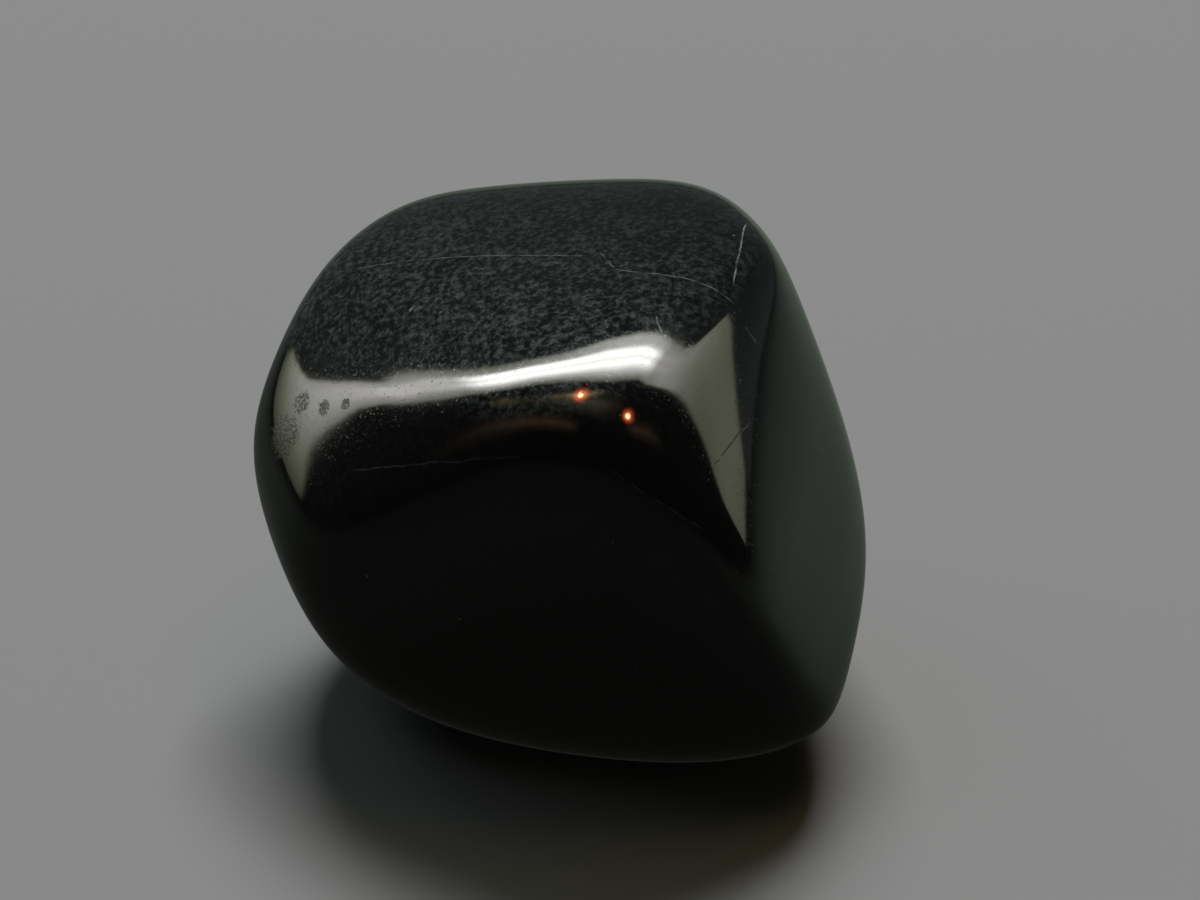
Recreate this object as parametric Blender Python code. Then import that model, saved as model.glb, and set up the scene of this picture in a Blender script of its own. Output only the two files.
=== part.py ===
"""A tumbled shungite stone: one blocky pebble of near-black rock with a glassy polish.

Run it with blender --background --python part.py, or from Blender's text editor. Metres, +Z up.
The stone's widest way lies along X and its front faces -Y. It rests at Z = 0 on a small flat
worn into its underside.

Tumbling wears a broken block into a few broad faces that roll into one another. The stone is
drawn as those faces. Each is a plane that looks some way, stands off the heart of the stone by
its reach, and meets its neighbours as crisply as its edge figure says. A point lies on the
surface where the wear of all the faces adds up to one, as worn_share works out.
"""

import math
from typing import NamedTuple

import bmesh
import bpy
from mathutils import Vector

MM = 0.001


class WornFace(NamedTuple):
    """A broad face of the stone: heading from +X towards +Y and tilt from +Z in degrees,
    reach from the heart in millimetres, and edge, where a higher figure is a crisper rim."""

    name: str
    heading: float
    tilt: float
    reach: float
    edge: float


FACES = (
    WornFace("top", heading=146, tilt=9, reach=12.6, edge=12),
    WornFace("upper left", heading=161, tilt=43, reach=17.1, edge=5.5),
    WornFace("front left corner", heading=217, tilt=54, reach=12.3, edge=7),
    WornFace("front", heading=260, tilt=96, reach=9.1, edge=9.5),
    WornFace("front right corner", heading=315, tilt=58, reach=11.9, edge=7),
    WornFace("side", heading=333, tilt=67, reach=11.3, edge=29),
    WornFace("back right", heading=20, tilt=74, reach=11.6, edge=10),
    WornFace("back", heading=77, tilt=90, reach=10.3, edge=5),
    WornFace("back left", heading=139, tilt=103, reach=12.1, edge=13),
    WornFace("left", heading=193, tilt=105, reach=14.3, edge=18.5),
    WornFace("lower left", heading=206, tilt=124, reach=13.4, edge=7),
    WornFace("lower right", heading=6, tilt=123, reach=11.4, edge=4),
    WornFace("underside", heading=0, tilt=180, reach=9.2, edge=4),
)

ROUNDS_OF_SPLITTING = 5  # of the 20-sided ball that the stone is worn from: 5120 triangles
REST_DEPTH = 0.10 * MM  # how much of the crown of the underside is worn flat
SHORTEST_EDGE = 0.05 * MM  # what the cut leaves shorter is merged, and what lies nearer the flat joins it
HALVINGS = 40  # of the span that holds the surface along one direction


def face_normal(face):
    """The way a worn face looks, as a unit vector."""
    heading = math.radians(face.heading)
    tilt = math.radians(face.tilt)
    level = math.sin(tilt)
    return Vector((level * math.cos(heading), level * math.sin(heading), math.cos(tilt)))


def worn_share(direction, distance, planes):
    """What the wear of all the faces adds up to, this far from the heart in this direction."""
    total = 0.0
    for normal, reach, edge in planes:
        stand_off = distance * normal.dot(direction) / reach
        if stand_off > 0.0:
            total += stand_off**edge
    return total


def surface_distance(direction, planes):
    """How far the surface lies from the heart in this direction, by halving the span."""
    nearest = 0.0
    farthest = min(
        reach / normal.dot(direction)
        for normal, reach, _ in planes
        if normal.dot(direction) > 0.0
    )
    for _ in range(HALVINGS):
        middle = (nearest + farthest) / 2.0
        if worn_share(direction, middle, planes) < 1.0:
            nearest = middle
        else:
            farthest = middle
    return nearest


def wear_into_stone(ball):
    """Moves each point of a ball along its own direction onto the stone's surface."""
    planes = [(face_normal(face), face.reach * MM, face.edge) for face in FACES]
    for vert in ball.verts:
        direction = vert.co.normalized()
        vert.co = direction * surface_distance(direction, planes)


def flatten_underside(ball):
    """Cuts the crown off the underside, caps the cut and returns the height of the flat."""
    height = min(vert.co.z for vert in ball.verts) + REST_DEPTH
    bmesh.ops.bisect_plane(
        ball,
        geom=ball.verts[:] + ball.edges[:] + ball.faces[:],
        dist=SHORTEST_EDGE,
        plane_co=(0.0, 0.0, height),
        plane_no=(0.0, 0.0, -1.0),
        clear_outer=True,
    )
    for vert in ball.verts:
        if vert.co.z < height + SHORTEST_EDGE:
            vert.co.z = height
    rim = [edge for edge in ball.edges if edge.is_boundary]
    bmesh.ops.contextual_create(ball, geom=rim)
    bmesh.ops.dissolve_degenerate(ball, dist=SHORTEST_EDGE, edges=ball.edges[:])
    return height


def stand_at_origin(ball, height):
    """Moves the stone so that its flat is at Z = 0 and its box is centred on the origin."""
    xs = [vert.co.x for vert in ball.verts]
    ys = [vert.co.y for vert in ball.verts]
    middle = Vector(((min(xs) + max(xs)) / 2.0, (min(ys) + max(ys)) / 2.0, height))
    bmesh.ops.translate(ball, vec=-middle, verts=ball.verts[:])


def polished_shungite():
    """Near-black rock, so finely polished that it mirrors the light."""
    material = bpy.data.materials.new("polished_shungite")
    material.use_nodes = True
    shader = material.node_tree.nodes["Principled BSDF"]
    shader.inputs["Base Color"].default_value = (0.012, 0.012, 0.013, 1.0)
    shader.inputs["Roughness"].default_value = 0.08
    shader.inputs["Metallic"].default_value = 0.0
    shader.inputs["IOR"].default_value = 1.6
    return material


def make_stone():
    """The whole stone, as one closed solid."""
    ball = bmesh.new()
    bmesh.ops.create_icosphere(ball, subdivisions=ROUNDS_OF_SPLITTING, radius=1.0)
    wear_into_stone(ball)
    height = flatten_underside(ball)
    stand_at_origin(ball, height)
    bmesh.ops.recalc_face_normals(ball, faces=ball.faces[:])
    mesh = bpy.data.meshes.new("stone")
    ball.to_mesh(mesh)
    ball.free()
    mesh.shade_smooth()
    mesh.materials.append(polished_shungite())
    stone = bpy.data.objects.new("stone", mesh)
    bpy.context.scene.collection.objects.link(stone)
    return stone


def main():
    for leftover in list(bpy.data.objects):
        bpy.data.objects.remove(leftover, do_unlink=True)
    make_stone()


main()
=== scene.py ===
"""Tumbled shungite: one polished near-black stone on a pale studio floor.

The file is laid out as a Blender add-on and is run as a script. Metres, +Z up, in the part's own
frame: the stone rests at Z = 0 under the middle of its box, and its front faces -Y.

The stone is worn from a rough ball by a Geometry Nodes tree. Each broad face is a plane that looks
some way, stands off the heart of the stone by its reach, and meets its neighbours as crisply as its
edge figure says. The surface lies where the wear of all the faces adds up to one.
"""

import math
from typing import NamedTuple

import bmesh
import bpy
from bpy.props import (
    CollectionProperty,
    FloatProperty,
    FloatVectorProperty,
    IntProperty,
    PointerProperty,
)
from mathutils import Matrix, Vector


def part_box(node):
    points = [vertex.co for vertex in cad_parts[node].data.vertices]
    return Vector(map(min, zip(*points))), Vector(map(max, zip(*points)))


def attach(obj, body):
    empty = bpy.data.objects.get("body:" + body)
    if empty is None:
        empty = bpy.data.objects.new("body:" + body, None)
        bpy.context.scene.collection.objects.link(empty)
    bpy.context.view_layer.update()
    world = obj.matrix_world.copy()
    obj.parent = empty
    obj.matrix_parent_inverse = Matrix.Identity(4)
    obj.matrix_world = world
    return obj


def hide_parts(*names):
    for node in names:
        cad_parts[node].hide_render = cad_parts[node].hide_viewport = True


bl_info = {
    "name": "Tumbled Shungite",
    "version": (1, 0, 0),
    "blender": (4, 5, 0),
    "location": "3D View > Sidebar > Shungite",
    "description": "Wears a polished shungite stone into shape and lights it in a small studio",
    "category": "Add Mesh",
}

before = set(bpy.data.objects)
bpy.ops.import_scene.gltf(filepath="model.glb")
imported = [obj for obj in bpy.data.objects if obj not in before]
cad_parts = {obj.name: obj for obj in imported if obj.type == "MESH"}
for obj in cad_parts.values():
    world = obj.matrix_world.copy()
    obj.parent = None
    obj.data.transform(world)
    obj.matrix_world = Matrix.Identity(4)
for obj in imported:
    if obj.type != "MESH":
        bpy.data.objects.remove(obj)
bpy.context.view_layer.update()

MM = 0.001
NODE = "stone"
SLOT = "polished_shungite"


class WornFace(NamedTuple):
    """A broad face of the stone: heading from +X towards +Y and tilt from +Z in degrees,
    reach from the heart in millimetres, and edge, where a higher figure is a crisper rim."""

    name: str
    heading: float
    tilt: float
    reach: float
    edge: float


FACES = (
    WornFace("top", heading=146, tilt=9, reach=12.6, edge=12),
    WornFace("upper left", heading=161, tilt=43, reach=17.1, edge=5.5),
    WornFace("front left corner", heading=217, tilt=54, reach=12.3, edge=7),
    WornFace("front", heading=260, tilt=96, reach=9.1, edge=9.5),
    WornFace("front right corner", heading=315, tilt=58, reach=11.9, edge=7),
    WornFace("side", heading=333, tilt=67, reach=11.3, edge=29),
    WornFace("back right", heading=20, tilt=74, reach=11.6, edge=10),
    WornFace("back", heading=77, tilt=90, reach=10.3, edge=5),
    WornFace("back left", heading=139, tilt=103, reach=12.1, edge=13),
    WornFace("left", heading=193, tilt=105, reach=14.3, edge=18.5),
    WornFace("lower left", heading=206, tilt=124, reach=13.4, edge=7),
    WornFace("lower right", heading=6, tilt=123, reach=11.4, edge=4),
    WornFace("underside", heading=0, tilt=180, reach=9.2, edge=4),
)


class Rib(NamedTuple):
    """A rib of the arch of light, from its far edge behind the stone to its near edge before it.
    Both edges are directions seen from the stone, in degrees above the floor and round from +X
    towards +Y. The other figures say how brightly the rib glows along its middle and its edges."""

    far_elevation: float
    far_azimuth: float
    near_elevation: float
    near_azimuth: float
    core: float
    far_rim: float
    near_rim: float


ARCH = (
    Rib(1.5, 143, 1.5, 172, core=0.3, far_rim=0.3, near_rim=0.3),
    Rib(4, 145, 4, 171.5, core=0.5, far_rim=0.5, near_rim=0.5),
    Rib(7, 148, 7, 170, core=0.85, far_rim=1.05, near_rim=0.8),
    Rib(11, 155, 10, 168, core=1.7, far_rim=2.0, near_rim=1.4),
    Rib(13, 160, 12.5, 167, core=2.8, far_rim=2.7, near_rim=2.2),
    Rib(15, 162.5, 14.5, 166.5, core=3.8, far_rim=3.2, near_rim=2.0),
    Rib(18, 164, 17.5, 168, core=5.5, far_rim=2.6, near_rim=1.6),
    Rib(22, 161.5, 21, 168.5, core=5.0, far_rim=1.8, near_rim=1.3),
    Rib(26, 159.5, 25, 168.5, core=5.6, far_rim=1.4, near_rim=1.0),
    Rib(30, 157.5, 30, 169, core=13.0, far_rim=1.3, near_rim=1.0),
    Rib(36, 153, 37, 170, core=16.0, far_rim=1.3, near_rim=0.9),
    Rib(47, 141, 50, 171, core=16.0, far_rim=1.5, near_rim=0.8),
    Rib(58, 121, 66, 176, core=16.0, far_rim=2.5, near_rim=0.8),
    Rib(62, 89, 81, -50, core=16.0, far_rim=3.6, near_rim=0.8),
    Rib(63, 60, 72, -28, core=16.0, far_rim=4.4, near_rim=0.9),
    Rib(62, 42, 60, -17, core=16.0, far_rim=4.4, near_rim=1.0),
    Rib(56, 18, 52, -13, core=15.0, far_rim=4.0, near_rim=1.3),
    Rib(49, 8, 44, -14, core=3.8, far_rim=2.6, near_rim=1.6),
    Rib(40, 2, 36, -12, core=3.0, far_rim=2.2, near_rim=2.5),
    Rib(34, 2.5, 29, -10, core=2.1, far_rim=1.6, near_rim=2.3),
    Rib(30, 12, 23, -8.5, core=1.45, far_rim=1.1, near_rim=1.5),
    Rib(18, 9.5, 15, -6.5, core=1.05, far_rim=0.95, near_rim=0.85),
    Rib(9, 7.5, 9, -4.5, core=0.85, far_rim=0.8, near_rim=0.7),
    Rib(4, 7, 5, -6.5, core=0.85, far_rim=0.85, near_rim=0.8),
    Rib(1, 6.5, 1, -5.5, core=0.7, far_rim=0.7, near_rim=0.6),
)
STEPS_BETWEEN_RIBS = 5


class Stop(NamedTuple):
    """A place across the arch, from 0 at its far edge to 1 at its near edge: how much of the core's
    glow it has in place of the rim's, and how much of the whole is left there."""

    place: float
    core: float
    left: float


ACROSS = (
    Stop(0.0, core=0.0, left=0.25),
    Stop(0.07, core=0.0, left=1.0),
    Stop(0.22, core=0.08, left=1.0),
    Stop(0.3, core=0.85, left=1.0),
    Stop(0.36, core=1.0, left=1.0),
    Stop(0.45, core=0.6, left=1.0),
    Stop(0.55, core=1.0, left=1.0),
    Stop(0.64, core=0.6, left=1.0),
    Stop(0.74, core=0.25, left=1.0),
    Stop(0.86, core=0.08, left=1.0),
    Stop(0.95, core=0.0, left=1.0),
    Stop(1.0, core=0.0, left=0.25),
)


class Streak(NamedTuple):
    """A soft streak of warm light in the dark room before the stone. It runs through a few
    directions, each an elevation and azimuth in degrees and a glow, and its half width is in
    degrees too."""

    name: str
    half_width: float
    colour: tuple
    ways: tuple


STREAKS = (
    Streak(
        "brass_bar",
        half_width=5.0,
        colour=(1.0, 0.78, 0.36),
        ways=(
            (28, 175, 0.0),
            (33, 178, 0.5),
            (40, -175, 0.1),
            (54, -165, 0.15),
            (68, -142, 1.0),
            (72, -115, 3.2),
            (73, -92, 1.8),
            (70, -55, 0.25),
            (66, -38, 0.0),
        ),
    ),
    Streak(
        "copper_rail",
        half_width=11.0,
        colour=(1.0, 0.52, 0.3),
        ways=(
            (14, -176, 0.0),
            (21, -169, 0.15),
            (30, -155, 0.24),
            (37, -134, 0.28),
            (38, -114, 0.24),
            (33, -98, 0.0),
        ),
    ),
    Streak(
        "copper_edge",
        half_width=6.0,
        colour=(1.0, 0.58, 0.34),
        ways=((33, -48, 0.0), (29, -38, 0.22), (25, -30, 0.22), (18, -24, 0.0)),
    ),
    Streak(
        "warm_haze",
        half_width=16.0,
        colour=(1.0, 0.85, 0.6),
        ways=((35, -176, 0.0), (52, -166, 0.1), (66, -130, 0.28), (60, -70, 0.32), (45, -38, 0.0)),
    ),
)
STREAK_ACROSS = ((-1.0, 0.0), (-0.5, 0.3), (0.0, 1.0), (0.5, 0.3), (1.0, 0.0))  # place and glow
STEPS_BETWEEN_WAYS = 6


class Bulb(NamedTuple):
    """A small warm bulb in a round red halo: its direction and the halo's reach in degrees, its
    radius in metres and its power in watts."""

    elevation: float
    azimuth: float
    radius: float
    power: float
    halo: float


BULBS = (
    Bulb(72, -114, radius=0.019, power=0.30, halo=9.5),
    Bulb(38.5, -38, radius=0.016, power=0.16, halo=6.0),
)
HALO_COLOUR = (1.0, 0.14, 0.025)
HALO_RINGS = ((0.02, 9.0), (0.35, 8.5), (0.55, 3.6), (0.75, 1.1), (1.0, 0.0))  # reach and glow
HALO_SPOKES = 24


class Wedge(NamedTuple):
    """How pale the card of painted reflection is, this many degrees round from +X to +Y: a painted
    reflection of the floor with painted shade, darkest before the stone, dim to its left and palest
    behind it to the right.
    """

    azimuth: float
    paper_and_painted_shade: float


# Painted reflection of the floor with painted shade: the polish shows this card in place of the floor.
PAINTED_REFLECTION_WEDGES = (
    Wedge(-180, 0.03),
    Wedge(-160, 0.02),
    Wedge(-140, 0.017),
    Wedge(-60, 0.017),
    Wedge(-35, 0.05),
    Wedge(-15, 0.12),
    Wedge(10, 0.155),
    Wedge(40, 0.155),
    Wedge(80, 0.13),
    Wedge(110, 0.085),
    Wedge(140, 0.062),
    Wedge(165, 0.052),
    Wedge(180, 0.03),
)


class Ring(NamedTuple):
    """A ring of the card of painted reflection, of a radius in millimetres: its share of the wedges'
    paleness, which is painted shade close to the stone, and how strongly it glows with a painted
    reflection of the room's dim light."""

    radius: float
    pale: float
    painted_room_glow: float


# Painted shade near the stone, and far out a painted glow of the room alone.
PAINTED_REFLECTION_RINGS = (
    Ring(1, pale=0.15, painted_room_glow=1.6),
    Ring(15, pale=0.38, painted_room_glow=1.6),
    Ring(32, pale=0.78, painted_room_glow=1.3),
    Ring(80, pale=1.0, painted_room_glow=0.8),
    Ring(150, pale=0.7, painted_room_glow=0.85),
    Ring(300, pale=0.3, painted_room_glow=1.0),
    Ring(600, pale=0.0, painted_room_glow=1.0),
    Ring(2000, pale=0.0, painted_room_glow=1.0),
)


class Hairline(NamedTuple):
    """A hairline crack, where a thin plane through the rock meets the surface. Its middle, half
    length and width are in millimetres, and the heading and tilt of the plane's normal in degrees.
    Pale says how far it is filled with pale mineral, and open how far it breaks the polish."""

    middle: tuple
    heading: float
    tilt: float
    half_length: float
    width: float
    pale: float
    open: float


HAIRLINES = (
    Hairline((-3.75, 1.6, 19.9), heading=72, tilt=90, half_length=6.0, width=0.035, pale=0.5, open=0.1),
    Hairline((2.05, -0.55, 21.8), heading=21, tilt=90, half_length=0.8, width=0.04, pale=0.6, open=0.1),
    Hairline((4.8, -2.15, 21.9), heading=73, tilt=90, half_length=2.8, width=0.04, pale=0.6, open=0.1),
    Hairline((7.6, 0.1, 21.9), heading=-9, tilt=90, half_length=2.4, width=0.05, pale=1.0, open=0.3),
    Hairline((4.15, -5.0, 21.6), heading=17, tilt=90, half_length=0.5, width=0.045, pale=0.7, open=0.1),
    Hairline((-6.1, -0.9, 19.7), heading=-45, tilt=90, half_length=0.2, width=0.13, pale=1.0, open=0.2),
    Hairline((-5.0, -7.7, 16.7), heading=96, tilt=39, half_length=4.7, width=0.06, pale=0.18, open=0.1),
    Hairline((4.0, -10.1, 16.7), heading=48, tilt=50, half_length=2.6, width=0.05, pale=0.28, open=0.1),
    Hairline((7.1, -7.1, 17.25), heading=157, tilt=34, half_length=1.6, width=0.06, pale=0.12, open=1.0),
    Hairline((8.0, -3.4, 20.0), heading=60, tilt=80, half_length=0.5, width=0.05, pale=0.5, open=0.1),
    Hairline((-2.0, 9.0, 15.0), heading=60, tilt=70, half_length=5.5, width=0.04, pale=0.3, open=0.3),
    Hairline((4.0, 9.0, 9.0), heading=10, tilt=60, half_length=3.5, width=0.04, pale=0.2, open=0.3),
    Hairline((-12.0, 3.0, 9.0), heading=100, tilt=60, half_length=3.0, width=0.04, pale=0.3, open=0.3),
)


class PitPatch(NamedTuple):
    """A patch of tiny pits: its middle and its radius in millimetres."""

    middle: tuple
    radius: float


PIT_PATCHES = (
    PitPatch((-11.7, -2.1, 13.9), radius=1.3),
    PitPatch((-11.0, -1.5, 15.2), radius=0.7),
    PitPatch((-9.9, -2.5, 15.7), radius=0.45),
    PitPatch((-8.9, -3.1, 16.3), radius=0.35),
    PitPatch((7.0, 7.0, 8.0), radius=1.6),
    PitPatch((-9.5, 6.5, 7.0), radius=1.4),
)


def unit_vector(heading, tilt):
    """The unit vector at a heading from +X towards +Y and a tilt from +Z, both in radians."""
    level = math.sin(tilt)
    return Vector((level * math.cos(heading), level * math.sin(heading), math.cos(tilt)))


# ---------------------------------------------------------------------------------------------
# What a user would change
# ---------------------------------------------------------------------------------------------

USUAL_REACH = 12.0 * MM  # of a worn face, until it has its own
USUAL_EDGE = 8.0
NET = 125
REST_DEPTH = 0.10 * MM
SWELL_HEIGHT = 0.018 * MM
SWELL_SIZE = 5.0 * MM
SWELL_SEED = 7

COLOUR = {"min": 0.0, "max": 1.0, "subtype": "COLOR"}
SHARE = {"min": 0.0, "max": 1.0, "subtype": "FACTOR"}
LENGTH = {"subtype": "DISTANCE", "unit": "LENGTH"}


class WornFaceSettings(bpy.types.PropertyGroup):
    """One broad face of the stone"""

    heading: FloatProperty(
        name="Heading",
        description="Way the face looks, turned from +X towards +Y",
        default=0.0,
        subtype="ANGLE",
    )
    tilt: FloatProperty(
        name="Tilt",
        description="How far the face leans over from looking straight up",
        default=0.0,
        subtype="ANGLE",
    )
    reach: FloatProperty(
        name="Reach",
        description="Distance of the face from the heart of the stone",
        default=USUAL_REACH,
        min=1.0 * MM,
        **LENGTH,
    )
    edge: FloatProperty(
        name="Edge",
        description="How crisply the face meets its neighbours",
        default=USUAL_EDGE,
        min=2.0,
        max=40.0,
    )


class StoneSettings(bpy.types.PropertyGroup):
    """The shape of the stone"""

    faces: CollectionProperty(
        name="Worn Faces",
        description="Broad faces that tumbling has worn into the stone",
        type=WornFaceSettings,
    )
    net: IntProperty(
        name="Net",
        description="Points along each side of the net that is wrapped round the stone",
        default=NET,
        min=9,
        max=129,
    )
    rest_depth: FloatProperty(
        name="Rest Depth",
        description="How much of the crown of the underside is worn flat",
        default=REST_DEPTH,
        min=0.0,
        **LENGTH,
    )
    swell_height: FloatProperty(
        name="Swell Height",
        description="Height of the slow swells that tumbling leaves in the polish",
        default=SWELL_HEIGHT,
        min=0.0,
        **LENGTH,
    )
    swell_size: FloatProperty(
        name="Swell Size",
        description="Distance from one slow swell to the next",
        default=SWELL_SIZE,
        min=0.5 * MM,
        **LENGTH,
    )
    swell_seed: IntProperty(
        name="Swell Seed",
        description="Picks another set of swells",
        default=SWELL_SEED,
    )


class FinishSettings(bpy.types.PropertyGroup):
    """The colours and the polish of the stone"""

    rock: FloatVectorProperty(
        name="Rock",
        description="Colour of the carbon-black rock",
        default=(0.0022, 0.0024, 0.0024),
        **COLOUR,
    )
    grain: FloatVectorProperty(
        name="Grain",
        description="Colour of the paler grains in the rock",
        default=(0.05, 0.06, 0.0585),
        **COLOUR,
    )
    seam: FloatVectorProperty(
        name="Hairline",
        description="Colour of the mineral that fills the hairline cracks",
        default=(0.16, 0.17, 0.165),
        **COLOUR,
    )
    pit: FloatVectorProperty(
        name="Pit",
        description="Colour of the unpolished rock in the tiny pits",
        default=(0.006, 0.006, 0.004),
        **COLOUR,
    )
    polish: FloatProperty(
        name="Roughness",
        description="Roughness of the polish",
        default=0.06,
        **SHARE,
    )
    smudges: FloatProperty(
        name="Smudges",
        description="How much the roughness changes from a clean place to a smudged one",
        default=0.08,
        **SHARE,
    )
    ripple_height: FloatProperty(
        name="Ripple Height",
        description="Height of the fine ripple in the polish",
        default=0.0006 * MM,
        min=0.0,
        **LENGTH,
    )


class StudioSettings(bpy.types.PropertyGroup):
    """The floor, the light and the camera"""

    floor: FloatVectorProperty(
        name="Floor",
        description="Colour of the floor",
        default=(0.165, 0.165, 0.165),
        **COLOUR,
    )
    # Tint of the painted reflection of the floor on the card that only the polish shows.
    painted_reflection_tint: FloatVectorProperty(
        name="Painted Reflection Tint",
        description="Tint of the floor where the polish mirrors it",
        default=(0.845, 1.0, 0.83),
        **COLOUR,
    )
    backdrop: FloatVectorProperty(
        name="Backdrop",
        description="Colour of the dim screen behind the stone",
        default=(0.86, 1.0, 0.97),
        **COLOUR,
    )
    room: FloatVectorProperty(
        name="Room",
        description="Colour of the dim room in front, as it lights matt surfaces",
        default=(0.018, 0.018, 0.016),
        **COLOUR,
    )
    mirrored_room: FloatVectorProperty(
        name="Mirrored Room",
        description="Colour of the dim room in front, where the polish mirrors it",
        default=(0.013, 0.013, 0.0112),
        **COLOUR,
    )
    surround: FloatVectorProperty(
        name="Surround",
        description="Colour that is seen past the edge of the floor",
        default=(0.24, 0.24, 0.238),
        **COLOUR,
    )
    glow: FloatProperty(
        name="Glow",
        description="Brightness of the whole arch of light",
        default=1.0,
        min=0.0,
    )
    tube: FloatVectorProperty(
        name="Tubes",
        description="Colour of the arch of light where it is bright",
        default=(1.0, 0.985, 0.95),
        **COLOUR,
    )
    wall: FloatVectorProperty(
        name="Walls",
        description="Colour of the arch of light where it is dim",
        default=(0.95, 1.0, 0.7),
        **COLOUR,
    )
    key_power: FloatProperty(
        name="Key Power",
        description="Power of the lamp behind the stone",
        default=39.0,
        min=0.0,
        unit="POWER",
    )
    ceiling_power: FloatProperty(
        name="Ceiling Power",
        description="Power of the faint warm lamp over the stone",
        default=6.5,
        min=0.0,
        unit="POWER",
    )
    side_power: FloatProperty(
        name="Side Power",
        description="Power of the cool lamp to the left of the stone",
        default=2.7,
        min=0.0,
        unit="POWER",
    )
    key_colour: FloatVectorProperty(
        name="Key Colour",
        description="Colour of the lamp behind the stone",
        default=(0.975, 0.995, 1.0),
        **COLOUR,
    )
    key_elevation: FloatProperty(
        name="Key Elevation",
        description="How high the lamp behind the stone hangs",
        default=math.radians(59.3),
        subtype="ANGLE",
    )
    key_azimuth: FloatProperty(
        name="Key Azimuth",
        description="Where the lamp behind the stone hangs, turned from +X towards +Y",
        default=math.radians(86.5),
        subtype="ANGLE",
    )
    key_width: FloatProperty(
        name="Key Width",
        description="Width of the lamp behind the stone",
        default=0.8,
        min=0.01,
        **LENGTH,
    )
    key_depth: FloatProperty(
        name="Key Depth",
        description="Depth of the lamp behind the stone",
        default=0.42,
        min=0.01,
        **LENGTH,
    )
    bulb_colour: FloatVectorProperty(
        name="Bulb Colour",
        description="Colour of the small warm bulbs",
        default=(1.0, 0.82, 0.47),
        **COLOUR,
    )
    elevation: FloatProperty(
        name="Camera Elevation",
        description="How far above the floor's level the camera looks from",
        default=math.radians(37.0),
        subtype="ANGLE",
    )
    distance: FloatProperty(
        name="Camera Distance",
        description="Distance of the camera from the point that it looks at",
        default=125.0 * MM,
        min=50.0 * MM,
        **LENGTH,
    )
    lens: FloatProperty(
        name="Camera Lens",
        description="Focal length of the camera, in millimetres on a 36 mm wide sensor",
        default=85.0,
        min=10.0,
    )
    aim: FloatVectorProperty(
        name="Camera Aim",
        description="Point that the camera looks at",
        default=(1.76 * MM, 0.75 * MM, 11.0 * MM),
        subtype="XYZ",
        unit="LENGTH",
    )


# ---------------------------------------------------------------------------------------------
# Node trees and objects
# ---------------------------------------------------------------------------------------------


class Wiring:
    """Adds nodes to a tree and joins them. An input is an output socket or a plain value."""

    COLUMN = 200.0
    ROW = 220.0
    ROWS = 6

    def __init__(self, tree):
        self.tree = tree
        self.placed = 0

    def node(self, kind, inputs=None, **settings):
        """One node, with the inputs that are named or numbered in a dictionary."""
        node = self.tree.nodes.new(kind)
        node.location = (self.COLUMN * (self.placed // self.ROWS), -self.ROW * (self.placed % self.ROWS))
        self.placed += 1
        for name, value in settings.items():
            setattr(node, name, value)
        for key, value in (inputs or {}).items():
            self.feed(node.inputs[key], value)
        return node

    def feed(self, socket, value):
        """Joins an output socket to an input, or sets the input to a plain value."""
        if isinstance(value, bpy.types.NodeSocket):
            self.tree.links.new(value, socket)
        else:
            socket.default_value = value

    def math(self, operation, *values):
        return self.node("ShaderNodeMath", dict(enumerate(values)), operation=operation).outputs[0]

    def vector(self, operation, *values):
        node = self.node("ShaderNodeVectorMath", dict(enumerate(values)), operation=operation)
        return node.outputs["Value" if operation in ("DOT_PRODUCT", "DISTANCE", "LENGTH") else "Vector"]

    def scaled(self, vector, factor):
        node = self.node("ShaderNodeVectorMath", {0: vector, "Scale": factor}, operation="SCALE")
        return node.outputs["Vector"]

    def split(self, vector):
        """A vector's X, Y and Z."""
        return self.node("ShaderNodeSeparateXYZ", {"Vector": vector}).outputs

    def joined(self, x, y, z):
        """The vector of an X, a Y and a Z."""
        return self.node("ShaderNodeCombineXYZ", {"X": x, "Y": y, "Z": z}).outputs["Vector"]

    def geometry(self, kind, inputs):
        """The geometry that a node makes."""
        return self.node(kind, inputs).outputs["Geometry"]

    def attribute(self, name):
        """What a piece's own attribute says."""
        return self.node("ShaderNodeAttribute", attribute_name=name).outputs["Fac"]

    def noise(self, point, pattern):
        """A pattern in space, from 0 to 1 and about 0.5 on the whole."""
        inputs = {
            "Vector": point,
            "Scale": 1.0 / pattern.size,
            "Detail": pattern.detail,
            "Roughness": pattern.roughness,
        }
        return self.node("ShaderNodeTexNoise", inputs).outputs["Fac"]

    def mixed_colour(self, factor, first, second):
        """The first colour where the factor is 0, turning to the second where it is 1."""
        ends = [end if isinstance(end, bpy.types.NodeSocket) else (*end, 1.0) for end in (first, second)]
        node = self.node("ShaderNodeMix", data_type="RGBA")
        for name, value in zip(("Factor_Float", "A_Color", "B_Color"), (factor, *ends)):
            self.feed(next(socket for socket in node.inputs if socket.identifier == name), value)
        return next(socket for socket in node.outputs if socket.identifier == "Result_Color")

    def ramp(self, value, low, high):
        """0 where the value is below low and 1 where it is above high, or the other way round."""
        inputs = {"Value": value, "From Min": low, "From Max": high}
        return self.node("ShaderNodeMapRange", inputs, interpolation_type="SMOOTHSTEP").outputs["Result"]


def new_group(name, kind, inputs, outputs):
    """A new node group, what adds its nodes, and what it is given. Its inputs and outputs each have
    a name, a kind and a default or None."""
    tree = bpy.data.node_groups.new(name, kind)
    for in_out, sockets in (("INPUT", inputs), ("OUTPUT", outputs)):
        for label, holds, default in sockets:
            holder = "NodeSocket" + holds
            socket = tree.interface.new_socket(name=label, in_out=in_out, socket_type=holder)
            if default is not None:
                socket.default_value = default
    wiring = Wiring(tree)
    return tree, wiring, wiring.node("NodeGroupInput").outputs


def new_object(name, data):
    """Puts a new object in the scene."""
    item = bpy.data.objects.new(name, data)
    bpy.context.scene.collection.objects.link(item)
    return item


# ---------------------------------------------------------------------------------------------
# The stone's shape
# ---------------------------------------------------------------------------------------------

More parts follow.
